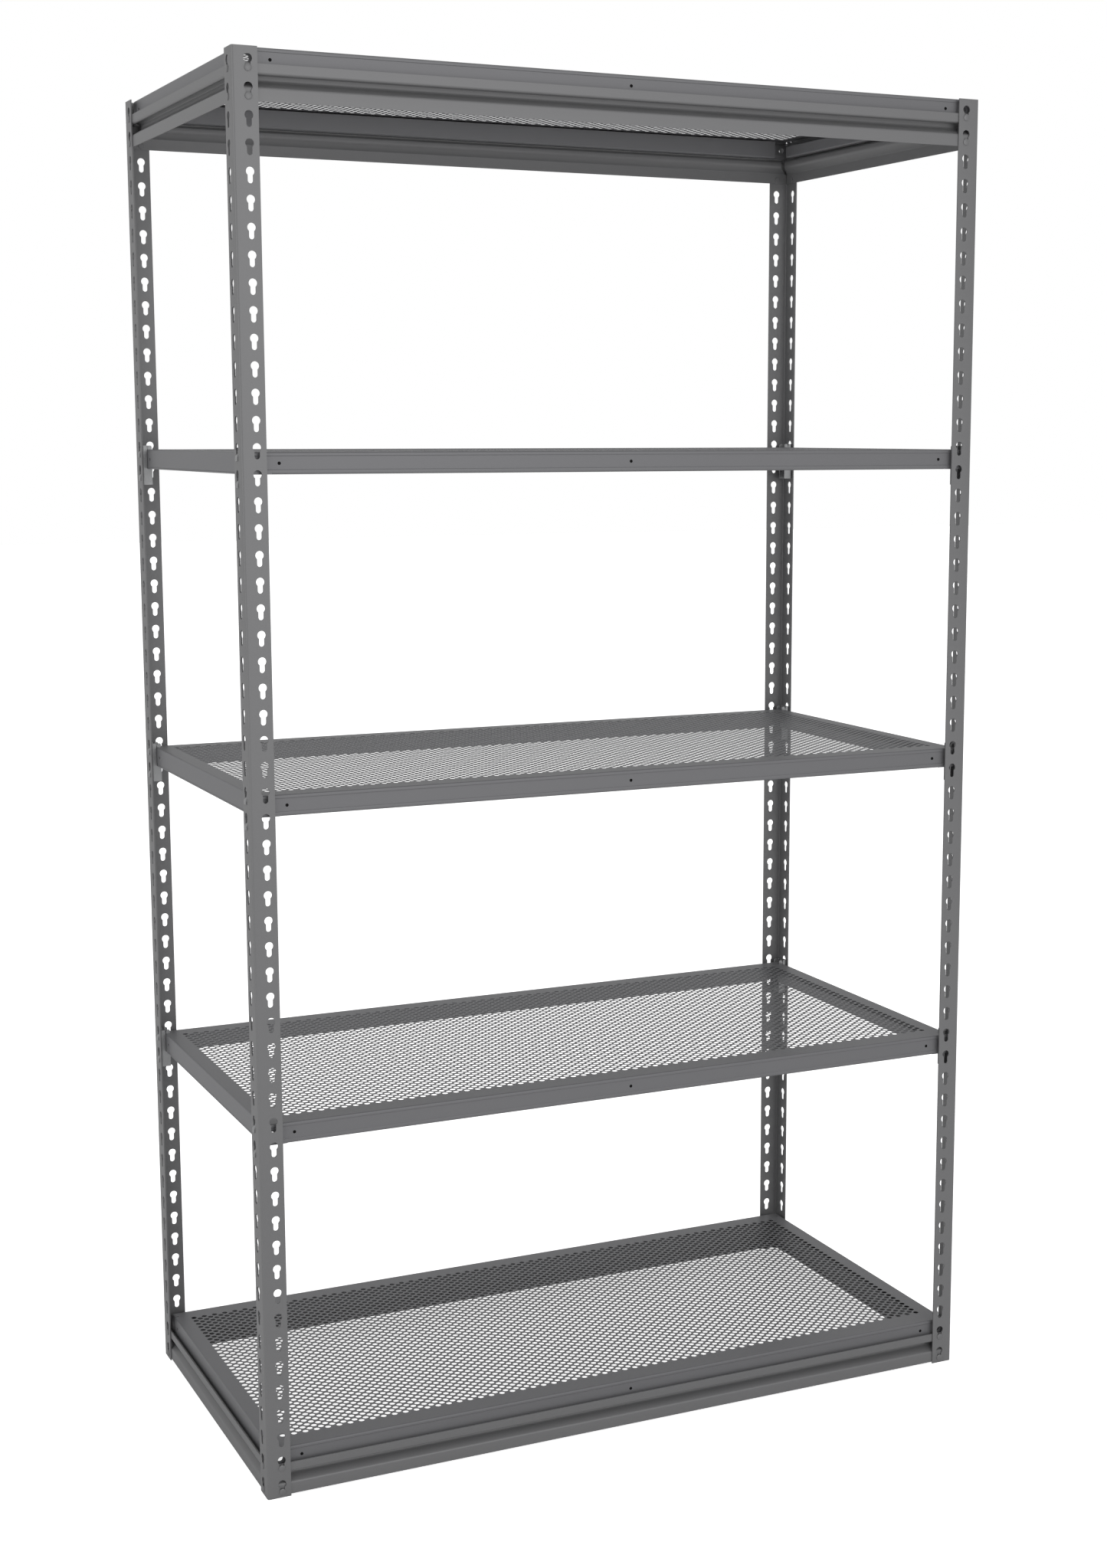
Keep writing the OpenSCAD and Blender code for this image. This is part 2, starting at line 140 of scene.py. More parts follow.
class ShelvingFinishes(PropertyGroup):
    """Colours and gloss of the shelving"""

    frame_coat: FloatVectorProperty(name="Frame coat", description="Powder coat of the posts, beams and rivets",
                                    subtype="COLOR", size=3, min=0, max=1, default=(0.113, 0.113, 0.113))
    deck_coat: FloatVectorProperty(name="Deck coat", description="Powder coat of the deck pans",
                                   subtype="COLOR", size=3, min=0, max=1, default=(0.098, 0.098, 0.098))
    clip_zinc: FloatVectorProperty(name="Clip zinc", description="Zinc plating of the clips",
                                   subtype="COLOR", size=3, min=0, max=1, default=(0.46, 0.463, 0.465))
    coat_roughness: FloatProperty(name="Coat roughness", description="Roughness of the powder coat",
                                  default=0.52, min=0, max=1, subtype="FACTOR")


class ShelvingStudio(PropertyGroup):
    """Camera, light and floor"""

    camera_place: FloatVectorProperty(name="Camera place", description="Where the camera stands", size=3,
                                      subtype="TRANSLATION", unit="LENGTH", default=(-1.5265, -3.4772, 1.6041))
    camera_tilt: FloatProperty(name="Camera tilt", description="Camera's tilt up from straight down",
                               default=math.radians(81.235), subtype="ANGLE", unit="ROTATION")
    camera_heading: FloatProperty(name="Camera heading", description="Camera's turn about the upright",
                                  default=math.radians(-25.517), subtype="ANGLE", unit="ROTATION")
    camera_lens: FloatProperty(name="Lens", description="Focal length in millimetres", default=52.19)
    sky_light: FloatProperty(name="Sky light", description="Strength of the even light", default=0.6)
    front_light: FloatProperty(name="Front light", description="Power of the front lamp", default=66,
                               subtype="POWER")
    left_light: FloatProperty(name="Left light", description="Power of the left lamp", default=58,
                              subtype="POWER")


# ---------- drawing and shaping ----------


def arc(centre, radius, start, end, steps):
    """Points of an arc in a plane, with its angles in degrees."""
    angles = [math.radians(start + (end - start) * i / steps) for i in range(steps + 1)]
    return [Vector((centre[0] + radius * math.cos(a), centre[1] + radius * math.sin(a))) for a in angles]


def circle(centre, radius, sides):
    """A closed ring of points with the same area as the true circle."""
    true_area = math.sqrt(2 * math.pi / sides / math.sin(2 * math.pi / sides))
    return arc(centre, radius * true_area, 0, 360, sides)[:-1]


def on_front(points, depth=0.0):
    """Stands plane points upright: across, then up."""
    return [Vector((p[0], depth, p[1])) for p in points]


def on_side(points, inward=0.0):
    """Stands plane points upright: back, then up."""
    return [Vector((inward, p[0], p[1])) for p in points]


def on_floor(points, height=0.0):
    """Lays plane points flat: across, then back."""
    return [Vector((p[0], p[1], height)) for p in points]


def add_loop(bm, points):
    """A closed ring of edges. Returns the edges."""
    verts = [bm.verts.new(p) for p in points]
    return [bm.edges.new((verts[i - 1], verts[i])) for i in range(len(verts))]


def faces_in(geometry):
    return [g for g in geometry if isinstance(g, bmesh.types.BMFace)]


def verts_in(geometry):
    return [g for g in geometry if isinstance(g, bmesh.types.BMVert)]


def edges_in(geometry):
    return [g for g in geometry if isinstance(g, bmesh.types.BMEdge)]


def face_towards(faces, direction):
    """Turns flat faces so that they all look along direction."""
    for face in faces:
        face.normal_update()
        if face.normal.dot(direction) < 0:
            face.normal_flip()


def fill_sheet(bm, edges, direction):
    """Fills an outline and leaves its inner loops open."""
    direction = Vector(direction)
    made = bmesh.ops.triangle_fill(bm, use_beauty=True, use_dissolve=False, edges=edges, normal=direction)
    faces = faces_in(made["geom"])
    face_towards(faces, direction)
    return faces


def sheet_section(corners, radii, thickness):
    """The closed outline of a sheet folded at corners: its middle line, with one radius for each fold."""
    left, right = [], []
    half = thickness / 2
    corners = [Vector(c) for c in corners]
    for i, corner in enumerate(corners):
        into = (corner - corners[i - 1]).normalized() if i else (corners[1] - corner).normalized()
        across = Vector((-into.y, into.x))
        if i in (0, len(corners) - 1):
            left.append(corner + across * half)
            right.append(corner - across * half)
            continue
        out = (corners[i + 1] - corner).normalized()
        turn = math.atan2(into.cross(out), into.dot(out))
        side = math.copysign(1, turn)
        radius = radii[i - 1]
        centre = corner - into * radius * math.tan(abs(turn) / 2) + across * side * radius
        steps = max(2, math.ceil(math.degrees(abs(turn)) / 15))
        for step in range(steps + 1):
            spoke = Matrix.Rotation(turn * step / steps, 2) @ (-side * across)
            left.append(centre + spoke * (radius - side * half))
            right.append(centre + spoke * (radius + side * half))
    return left + right[::-1]


def pull(bm, points, run):
    """A solid bar: a closed outline in space, pulled along run. Returns its far end's vertices."""
    face = bm.faces.new([bm.verts.new(p) for p in points])
    face.normal_update()
    if face.normal.dot(run) > 0:
        face.normal_flip()
    made = bmesh.ops.extrude_face_region(bm, geom=[face], use_keep_orig=True)["geom"]
    far = verts_in(made)
    bmesh.ops.translate(bm, verts=far, vec=run)
    return far


def mirrored_copy(bm, matrix):
    """Adds a mirrored copy of everything, turned right side out, and joins it along the middle."""
    made = bmesh.ops.duplicate(bm, geom=bm.verts[:] + bm.edges[:] + bm.faces[:])["geom"]
    bmesh.ops.transform(bm, matrix=matrix, verts=verts_in(made))
    bmesh.ops.reverse_faces(bm, faces=faces_in(made))
    bmesh.ops.remove_doubles(bm, verts=bm.verts[:], dist=MERGE)


def place(bm, matrix):
    """Moves a finished solid, and turns it right side out again if the move mirrors it."""
    bmesh.ops.transform(bm, matrix=matrix, verts=bm.verts[:])
    if matrix.determinant() < 0:
        bmesh.ops.reverse_faces(bm, faces=bm.faces[:])


def corner_place(side, end, height=0.0):
    """From a corner drawn as (inward, back, up) to one of the four corners."""
    outer = Matrix.Translation((side * HALF_WIDTH, end * HALF_DEPTH, height))
    return outer @ Matrix.Diagonal((-side, -end, 1, 1))


SWAP_SIDES = Matrix(((0, 1, 0, 0), (1, 0, 0, 0), (0, 0, 1, 0), (0, 0, 0, 1)))


def make_piece(name, bm, finish, body, nodes=()):
    """Hangs a finished mesh on its body, with its finish."""
    mesh = bpy.data.meshes.new(name)
    bm.to_mesh(mesh)
    bm.free()
    mesh.shade_smooth()
    mesh.set_sharp_from_angle(angle=SHARP_ANGLE)
    mesh.materials.append(finish)
    obj = bpy.data.objects.new(name, mesh)
    bpy.context.scene.collection.objects.link(obj)
    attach(obj, body)
    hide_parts(*nodes)
    return obj


# ---------- finishes ----------


def new_material(name):
    """A new material and its node tree, or the finished one and None when it is there already."""
    material = bpy.data.materials.get(name)
    if material:
        return material, None
    material = bpy.data.materials.new(name)
    material.use_nodes = True
    return material, material.node_tree


def noise(tree, place_socket, scale, detail, roughness=0.5):
    """A noise pattern's value at a place."""
    node = tree.nodes.new("ShaderNodeTexNoise")
    node.inputs["Scale"].default_value = scale
    node.inputs["Detail"].default_value = detail
    node.inputs["Roughness"].default_value = roughness
    tree.links.new(place_socket, node.inputs["Vector"])
    return node.outputs["Fac"]


def spread(tree, value, low, high, to_low, to_high):
    """Maps a pattern's usual range onto another, and holds it there."""
    node = tree.nodes.new("ShaderNodeMapRange")
    for name, number in (("From Min", low), ("From Max", high), ("To Min", to_low), ("To Max", to_high)):
        node.inputs[name].default_value = number
    tree.links.new(value, node.inputs["Value"])
    return node.outputs["Result"]


def mix_colours(tree, factor, first, second):
    """Mixes two colours, each given as numbers or as another node's socket."""
    node = tree.nodes.new("ShaderNodeMix")
    node.data_type = "RGBA"
    tree.links.new(factor, node.inputs["Factor"])
    for socket, colour in ((node.inputs[6], first), (node.inputs[7], second)):
        if isinstance(colour, bpy.types.NodeSocket):
            tree.links.new(colour, socket)
        else:
            socket.default_value = (*colour, 1)
    return node.outputs[2]


def bump(tree, height, strength, distance, under=None):
    """Turns a pattern into relief, on top of another relief where one is given."""
    node = tree.nodes.new("ShaderNodeBump")
    node.inputs["Strength"].default_value = strength
    node.inputs["Distance"].default_value = distance
    tree.links.new(height, node.inputs["Height"])
    if under:
        tree.links.new(under, node.inputs["Normal"])
    return node.outputs["Normal"]


def powder_coat(name, colour, roughness):
    """Baked powder: a fine orange peel, small pale and dark flecks, and a slow drift in colour and gloss."""
    material, tree = new_material(name)
    if tree is None:
        return material
    shader = tree.nodes["Principled BSDF"]
    where = tree.nodes.new("ShaderNodeTexCoord").outputs["Object"]
    colour = Vector(colour)
    drift = spread(tree, noise(tree, where, 5, 3), 0.35, 0.65, 0, 1)
    body = mix_colours(tree, drift, colour * 0.95, colour * 1.05)
    fleck = spread(tree, noise(tree, where, 700, 2), 0.62, 0.74, 0, 0.5)
    flecked = mix_colours(tree, fleck, body, colour * 1.45)
    pit = spread(tree, noise(tree, where, 460, 3), 0.28, 0.38, 0.35, 0)
    coated = mix_colours(tree, pit, flecked, colour * 0.7)
    scuff = spread(tree, noise(tree, where, 24, 8, 0.7), 0.64, 0.76, 0, 0.16)
    worn = mix_colours(tree, scuff, coated, colour * 1.35)
    tree.links.new(worn, shader.inputs["Base Color"])
    gloss = spread(tree, noise(tree, where, 60, 4), 0.3, 0.7, roughness - 0.08, roughness + 0.1)
    tree.links.new(gloss, shader.inputs["Roughness"])
    peel = bump(tree, noise(tree, where, 520, 2), 0.22, 0.0004)
    waves = bump(tree, noise(tree, where, 12, 2), 0.05, 0.002, peel)
    tree.links.new(waves, shader.inputs["Normal"])
    shader.inputs["Specular IOR Level"].default_value = 0.42
    return material


def zinc_plate(name, colour):
    """Dull plated zinc: faint crystals, drawn lines and cloudy gloss."""
    material, tree = new_material(name)
    if tree is None:
        return material
    shader = tree.nodes["Principled BSDF"]
    where = tree.nodes.new("ShaderNodeTexCoord").outputs["Object"]
    colour = Vector(colour)
    crystals = tree.nodes.new("ShaderNodeTexVoronoi")
    crystals.inputs["Scale"].default_value = 420
    tree.links.new(where, crystals.inputs["Vector"])
    cloud = spread(tree, noise(tree, where, 90, 5, 0.6), 0.3, 0.7, 0, 1)
    plated = mix_colours(tree, cloud, colour * 0.86, colour * 1.1)
    grain = spread(tree, crystals.outputs["Distance"], 0, 0.8, 0, 0.25)
    grained = mix_colours(tree, grain, plated, colour * 1.2)
    tree.links.new(grained, shader.inputs["Base Color"])
    gloss = spread(tree, noise(tree, where, 160, 4), 0.3, 0.7, 0.34, 0.55)
    tree.links.new(gloss, shader.inputs["Roughness"])
    stretch = tree.nodes.new("ShaderNodeMapping")
    stretch.inputs["Scale"].default_value = (1, 1, 0.08)
    tree.links.new(where, stretch.inputs["Vector"])
    lines = bump(tree, noise(tree, stretch.outputs["Vector"], 1400, 2), 0.2, 0.0002)
    tree.links.new(lines, shader.inputs["Normal"])
    shader.inputs["Metallic"].default_value = 0.35
    return material


def painted_shade_black(name):
    """Matt black with a fine moulded grain: painted shade, the darkness inside the pans' small front holes."""
    material, tree = new_material(name)
    if tree is None:
        return material
    shader = tree.nodes["Principled BSDF"]
    where = tree.nodes.new("ShaderNodeTexCoord").outputs["Object"]
    tone = spread(tree, noise(tree, where, 900, 2), 0.3, 0.7, 0, 1)
    # Near-black colour: painted shade for holes that show only shade inside
    colour = mix_colours(tree, tone, (0.002, 0.002, 0.002), (0.005, 0.005, 0.005))
    tree.links.new(colour, shader.inputs["Base Color"])
    tree.links.new(bump(tree, noise(tree, where, 1800, 2), 0.1, 0.0001), shader.inputs["Normal"])
    shader.inputs["Roughness"].default_value = 0.7
    shader.inputs["Specular IOR Level"].default_value = 0.15
    return material


def frame_finish(context):
    looks = context.scene.shelving_finishes
    return powder_coat("powder_coat_frame", looks.frame_coat, looks.coat_roughness)


def deck_finish(context):
    looks = context.scene.shelving_finishes
    return powder_coat("powder_coat_deck", looks.deck_coat, looks.coat_roughness)


def clip_finish(context):
    return zinc_plate("zinc_clip", context.scene.shelving_finishes.clip_zinc)


# ---------- posts ----------


def keyhole_outline(sizes):
    """A keyhole about its round opening's centre: the round opening, then the slot with its round bottom."""
    half_slot = sizes.keyhole_slot / 2
    head = sizes.keyhole_head / 2
    neck = math.degrees(math.asin(half_slot / head))
    slot_bottom = (0, half_slot - sizes.keyhole_drop)
    return arc((0, 0), head, neck - 90, 270 - neck, 20) + arc(slot_bottom, half_slot, 180, 360, 10)


def post_flange_sheet(bm, sizes):
    """One flange on the front plane: the first keyhole with its share of flange, then its copies down the post."""
    pitch = sizes.keyhole_pitch
    count = round(POST_TOP / pitch)
    top = POST_TOP
    bottom = POST_TOP - pitch
    outline = [(sizes.post_bend, top), (POST_FLANGE, top), (POST_FLANGE, bottom), (sizes.post_bend, bottom)]
    centre = Vector((sizes.keyhole_inset, POST_TOP - sizes.keyhole_first))
    keyhole = [centre + p for p in keyhole_outline(sizes)]
    edges = add_loop(bm, on_front(outline)) + add_loop(bm, on_front(keyhole))
    fill_sheet(bm, edges, (0, -1, 0))
    cell = bm.verts[:] + bm.edges[:] + bm.faces[:]
    for k in range(1, count):
        made = bmesh.ops.duplicate(bm, geom=cell)["geom"]
        bmesh.ops.translate(bm, verts=verts_in(made), vec=(0, 0, -k * pitch))
    bmesh.ops.remove_doubles(bm, verts=bm.verts[:], dist=MERGE)


def post_mesh(sizes):
    """The front left post: one flange, its mirror image and the bend between them, thickened inwards."""
    bm = bmesh.new()
    post_flange_sheet(bm, sizes)
    mirrored_copy(bm, SWAP_SIDES)
    r = sizes.post_bend
    fold = [e for e in bm.edges if all(abs(v.co.x - r) + abs(v.co.y) < MERGE for v in e.verts)]
    ends = list({v for e in fold for v in e.verts})
    bmesh.ops.spin(bm, geom=ends + fold, cent=(r, r, 0), axis=(0, 0, 1), dvec=(0, 0, 0), angle=-math.pi / 2,
                   steps=6, use_merge=False, use_normal_flip=False, use_duplicate=False)
    bmesh.ops.remove_doubles(bm, verts=bm.verts[:], dist=MERGE)
    bmesh.ops.recalc_face_normals(bm, faces=bm.faces[:])
    front = max(bm.faces, key=lambda f: f.calc_center_median().x)
    if front.normal.y > 0:
        bmesh.ops.reverse_faces(bm, faces=bm.faces[:])
    bmesh.ops.solidify(bm, geom=bm.faces[:], thickness=sizes.post_sheet)
    return bm


class SHELVING_OT_posts(Operator):
    """Make the four angle posts with their lines of keyholes"""

    bl_idname = "shelving.posts"
    bl_label = "Posts"
    bl_options = {"REGISTER", "UNDO"}

    def execute(self, context):
        sizes = context.scene.shelving_sizes
        post = post_mesh(sizes)
        for corner, (side, end) in CORNERS.items():
            bm = post.copy()
            place(bm, corner_place(side, end))
            name = f"post_{corner}"
            make_piece(f"{name}_sheet", bm, frame_finish(context), FRAME_BODY, [name])
        post.free()
        return {"FINISHED"}


# ---------- beams ----------


def beam_outline(sizes, height):
    """A beam's section as (inward from its outer face, up from its top edge)."""
    t = sizes.beam_sheet
    face = t / 2
    band = 0.01146
    lip, crest_bend, shoulder_bend, heel_bend, toe_bend = 0.0026, 0.0015, 0.0035, 0.007, 0.003
    land = 0.00375
    web = 0.0036
    slope = math.radians(31)
    crest = -sizes.ledge_drop - face
    back = sizes.ledge_depth - face
    rise = face + 2 * lip
    eighth = math.tan(math.radians(22.5))
    land_end = rise + crest_bend + land + crest_bend * eighth
    shoulder = crest - (back - land_end)
    heel = shoulder - shoulder_bend * eighth - web - heel_bend * math.tan((math.pi / 2 - slope) / 2)
    toe = heel - (back - face) * math.tan(slope)
    corners = [(face, 0), (face, -band - lip), (rise, -band - lip), (rise, crest), (land_end, crest),
               (back, shoulder), (back, heel), (face, toe), (face, -height)]
    # A hair under the lip's own size, so that its two bends never share a point
    lip_bend = lip * 0.999
    radii = [lip_bend, lip_bend, crest_bend, crest_bend, shoulder_bend, heel_bend, toe_bend]
    return sheet_section(corners, radii, t)


def beam_mesh(sizes, length, top, height):
    """A beam on the front plane between the planes of two posts, with its ledge mitred at both ends."""
    end_gap = 0.0045
    mitre_gap = 0.004
    ledge_start = sizes.post_sheet + sizes.beam_sheet + 0.0001
    bm = bmesh.new()
    section = [Vector((end_gap, sizes.post_sheet + p.x, top + p.y)) for p in beam_outline(sizes, height)]
    pull(bm, section, Vector((length - 2 * end_gap, 0, 0)))
    for vert in bm.verts:
        if vert.co.y > ledge_start:
            mitre = vert.co.y + mitre_gap
            vert.co.x = mitre if vert.co.x < length / 2 else length - mitre
    return bm


class SHELVING_OT_beams(Operator):
    """Make the eight beams of the top and bottom frames"""

    bl_idname = "shelving.beams"
    bl_label = "Beams"
    bl_options = {"REGISTER", "UNDO"}

    def execute(self, context):
        sizes = context.scene.shelving_sizes
        finish = frame_finish(context)
        for level in ("top", "bottom"):
            low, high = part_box(f"{level}_beam_front")
            long_beam = beam_mesh(sizes, 2 * HALF_WIDTH, high.z, high.z - low.z)
            short_beam = beam_mesh(sizes, 2 * HALF_DEPTH, high.z, high.z - low.z)
            place(short_beam, SWAP_SIDES)
            for where, beam, matrix in (
                ("front", long_beam, corner_place(-1, -1)),
                ("back", long_beam, corner_place(-1, 1)),
                ("left", short_beam, corner_place(-1, -1)),
                ("right", short_beam, corner_place(1, -1)),
            ):
                bm = beam.copy()
                place(bm, matrix)
                name = f"{level}_beam_{where}"
                make_piece(f"{name}_sheet", bm, finish, FRAME_BODY, [name])
            long_beam.free()
            short_beam.free()
        return {"FINISHED"}


# ---------- rivets ----------


def rivet_mesh(sizes):
    """One rivet along +Y, with its domed head on the front plane and its upset tail behind the beam."""
    head = sizes.rivet_head / 2
    head_rise = 0.0017
    edge = head_rise * 0.45
    shank = 0.0037
    tail = shank + 0.0009
    tail_rise = 0.0011
    grip = sizes.post_sheet + sizes.beam_sheet
    dome = [(head * math.cos(a), -edge - (head_rise - edge) * math.sin(a))
            for a in (math.radians(d) for d in (90, 70, 50, 30, 12, 0))]
    profile = dome + [(head, 0), (shank, 0), (shank, grip), (tail, grip), (tail, grip + tail_rise * 0.7),
                      (tail - 0.0005, grip + tail_rise), (0, grip + tail_rise)]
    bm = bmesh.new()
    verts = [bm.verts.new((r, y, 0)) for r, y in profile]
    edges = [bm.edges.new(pair) for pair in zip(verts, verts[1:])]
    bmesh.ops.spin(bm, geom=verts + edges, cent=(0, 0, 0), axis=(0, 1, 0), dvec=(0, 0, 0), angle=2 * math.pi,
                   steps=24, use_merge=True, use_normal_flip=False, use_duplicate=False)
    bmesh.ops.remove_doubles(bm, verts=bm.verts[:], dist=MERGE)
    bmesh.ops.recalc_face_normals(bm, faces=bm.faces[:])
    return bm


class SHELVING_OT_rivets(Operator):
    """Make the rivets that hold the beams to the posts"""

    bl_idname = "shelving.rivets"
    bl_label = "Rivets"
    bl_options = {"REGISTER", "UNDO"}

    def execute(self, context):
        sizes = context.scene.shelving_sizes
        rivet = rivet_mesh(sizes)
        for level in ("top", "bottom"):
            low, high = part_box(f"{level}_beam_front")
            bm = bmesh.new()
            for side, end in CORNERS.values():
                for height in (high.z - sizes.rivet_edge, low.z + sizes.rivet_edge):
                    for swap in (Matrix.Identity(4), SWAP_SIDES):
                        one = rivet.copy()
                        place(one, Matrix.Translation((sizes.keyhole_inset, 0, 0)))
                        place(one, swap)
                        place(one, corner_place(side, end, height))
                        join(bm, one)
            name = f"{level}_frame_rivets"
            make_piece(f"{name}_set", bm, frame_finish(context), FRAME_BODY, [name])
        rivet.free()
        return {"FINISHED"}


def join(bm, other):
    """Adds another bmesh's geometry and frees it."""
    mesh = bpy.data.meshes.new("joining")
    other.to_mesh(mesh)
    other.free()
    bm.from_mesh(mesh)
    bpy.data.meshes.remove(mesh)


# ---------- deck pans ----------


def pan_sizes():
    """The outline of a pan and its places, measured from its own front left corner."""
    low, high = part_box("shelf_2")
    return {
        "width": high.x - low.x,
        "depth": high.y - low.y,
        "height": high.z - low.z,
        "side_gap": low.x + HALF_WIDTH,
        "front_gap": low.y + HALF_DEPTH,
        "back_gap": HALF_DEPTH - high.y,
        "bend": PAN_BEND,
    }


def wing_notches(sizes, pan):
    """Where the clips' wings come up through a pan's side, as (start, end) from front to back."""
    near = sizes.keyhole_inset - sizes.clip_width / 2
    far = sizes.keyhole_inset + sizes.clip_width / 2
    cuts = []
    for wing in (near, far - sizes.clip_sheet):
        for gap, back in ((pan["front_gap"], False), (pan["back_gap"], True)):
            if wing <= gap + pan["bend"]:
                continue
            start = wing - gap - NOTCH_PLAY
            end = start + sizes.clip_sheet + 2 * NOTCH_PLAY
            cuts.append((pan["depth"] - end, pan["depth"] - start) if back else (start, end))
    return sorted(cuts)


def deck_outline(pan, notches, reach):
    """Round the flat of a deck, with a notch in its sides for each wing."""
    bend = pan["bend"]
    right = pan["width"] - bend
    back = pan["depth"] - bend
    points = [(bend, bend), (right, bend)]
    for start, end in notches:
        inner = pan["width"] - reach
        points += [(right, start), (inner, start), (inner, end), (right, end)]
    points += [(right, back), (bend, back)]
    for start, end in reversed(notches):
        points += [(bend, end), (reach, end), (reach, start), (bend, start)]
    return points


def perforation(bm, sizes, pan):
    """The field of staggered holes: one hole in its own six-sided share of sheet, copied to a row and then back."""
    across, along = sizes.hole_across, sizes.hole_along
    # The slanted sides of a share lie midway between two holes, square to the line that joins them
    middle = (across * across + along * along) / 2
    near_tip = (middle - along * along) / across
    far_tip = middle / across
    share = [(far_tip, 0), (near_tip, along), (-near_tip, along),
             (-far_tip, 0), (-near_tip, -along), (near_tip, -along)]
    sides = 10
    outer = add_loop(bm, on_floor(share))
    inner = add_loop(bm, on_floor(circle((0, 0), sizes.hole_size / 2, sides)))
    made = bmesh.ops.bridge_loops(bm, edges=outer + inner)
    face_towards(faces_in(made["faces"]), Vector((0, 0, 1)))
    cell = bm.verts[:] + bm.edges[:] + bm.faces[:]
    middle_column = (sizes.hole_columns - 1) // 2
    middle_row = (sizes.hole_rows - 1) // 2
    centre = Vector((pan["width"] / 2, HALF_DEPTH - pan["front_gap"], 0))
    rows = []
    for parity in (0, 1):
        row = []
        for column in range(parity, sizes.hole_columns, 2):
            copy = bmesh.ops.duplicate(bm, geom=cell)["geom"]
            shift = Vector(((column - middle_column) * across, 0, 0)) + centre
            bmesh.ops.translate(bm, verts=verts_in(copy), vec=shift)
            row += copy
        rows.append(row)
    for row_index in range(sizes.hole_rows):
        copy = bmesh.ops.duplicate(bm, geom=rows[row_index % 2])["geom"]
        bmesh.ops.translate(bm, verts=verts_in(copy), vec=(0, (row_index - middle_row) * along, 0))
    spare = verts_in(cell) + verts_in(rows[0]) + verts_in(rows[1])
    bmesh.ops.delete(bm, geom=spare, context="VERTS")
    share_gap = 0.00002
    bmesh.ops.remove_doubles(bm, verts=bm.verts[:], dist=share_gap)


def deck_sheet(sizes, pan):
    """The flat of a pan with its holes, as one sheet at zero height."""
    bm = bmesh.new()
    perforation(bm, sizes, pan)
    reach = sizes.pan_sheet + WING_DEPTH + NOTCH_PLAY
    outline = add_loop(bm, on_floor(deck_outline(pan, wing_notches(sizes, pan), reach)))
    fill_sheet(bm, outline + field_rim(bm), (0, 0, 1))
    return bm


def field_rim(bm):
    """The field's ragged outer edge: the one boundary loop that is far longer than a hole."""
    boundary = {e for e in bm.edges if e.is_boundary}
    longest = []
    while boundary:
        loop = [boundary.pop()]
        front = [loop[0]]
        while front:
            edge = front.pop()
            for vert in edge.verts:
                for other in vert.link_edges:
                    if other in boundary:
                        boundary.remove(other)
                        loop.append(other)
                        front.append(other)
        if len(loop) > len(longest):
            longest = loop
    return longest


def half_of(bm, middle, keep_left):
    """One half of a deck, parted along the edges nearest its middle."""
    half = bm.copy()
    other = [f for f in half.faces if (f.calc_center_median().x < middle) != keep_left]
    bmesh.ops.delete(half, geom=other, context="FACES")
    return half


def front_profiles(sizes, pan):
    """Middle lines of a pan's front as (inward, up from the deck): its top fold, and its foot with and without
    the return."""
    t = sizes.pan_sheet
    mid = t / 2
    step = FACE_STEP
    bend = pan["bend"] - mid
    foot = mid - pan["height"]
    lip_top = -t - 0.002
    top = -0.005
    bottom = 0.006 - pan["height"]
    panel = (top - 2 * step, bottom + 2 * step)
    top_fold = ([(pan["bend"], -mid), (mid, -mid), (mid, top), (mid + step, top - step), (mid + step, panel[0])],
                [bend, STEP_BEND, STEP_BEND])
    foot_start = [(mid + step, panel[1]), (mid + step, bottom + step), (mid, bottom)]
    plain_foot = (foot_start + [(mid, -pan["height"])], [STEP_BEND, STEP_BEND])
    return_foot = (foot_start + [(mid, foot), (RETURN_WIDTH - mid, foot), (RETURN_WIDTH - mid, lip_top)],
                   [STEP_BEND, STEP_BEND, bend, bend])
    return top_fold, plain_foot, return_foot, panel


def pull_along_front(bm, profile, thickness, start, end):
    """A length of folded sheet along a pan's front, with its middle line and bends given by profile."""
    corners, radii = profile
    section = [Vector((start, p.x, p.y)) for p in sheet_section(corners, radii, thickness)]
    pull(bm, section, Vector((end - start, 0, 0)))


def label_holes(pan):
    """How far along a pan's front its three small holes lie."""
    first = LABEL_INSET - pan["side_gap"]
    return first, pan["width"] / 2, pan["width"] - first


def pan_front(sizes, pan, with_labels):
    """A pan's whole front: the folds, the set-in face with its holes, and the return under it. Its back has no
    small holes."""
    t = sizes.pan_sheet
    width = pan["width"]
    top_fold, plain_foot, return_foot, panel = front_profiles(sizes, pan)
    return_gap = 0.036
    bm = bmesh.new()
    pull_along_front(bm, top_fold, t, pan["bend"], width - pan["bend"])
    pull_along_front(bm, return_foot, t, return_gap, width - return_gap)
    pull_along_front(bm, plain_foot, t, t, return_gap)
    pull_along_front(bm, plain_foot, t, width - return_gap, width - t)
    holes = bmesh.new()
    outline = [(t, panel[1]), (width - t, panel[1]), (width - t, panel[0]), (t, panel[0])]
    edges = add_loop(holes, on_front(outline, FACE_STEP))
    lug = LUG_INSET - pan["side_gap"]
    mid_height = -pan["height"] / 2
    cuts = [(lug, LUG_HOLE), (width - lug, LUG_HOLE)]
    if with_labels:
        cuts += [(x, LABEL_HOLE) for x in label_holes(pan)]
    for x, size in cuts:
        edges += add_loop(holes, on_front(circle((x, mid_height), size / 2, HOLE_SIDES), FACE_STEP))
    faces = fill_sheet(holes, edges, (0, -1, 0))
    bmesh.ops.solidify(holes, geom=faces, thickness=t)
    join(bm, holes)
    return bm


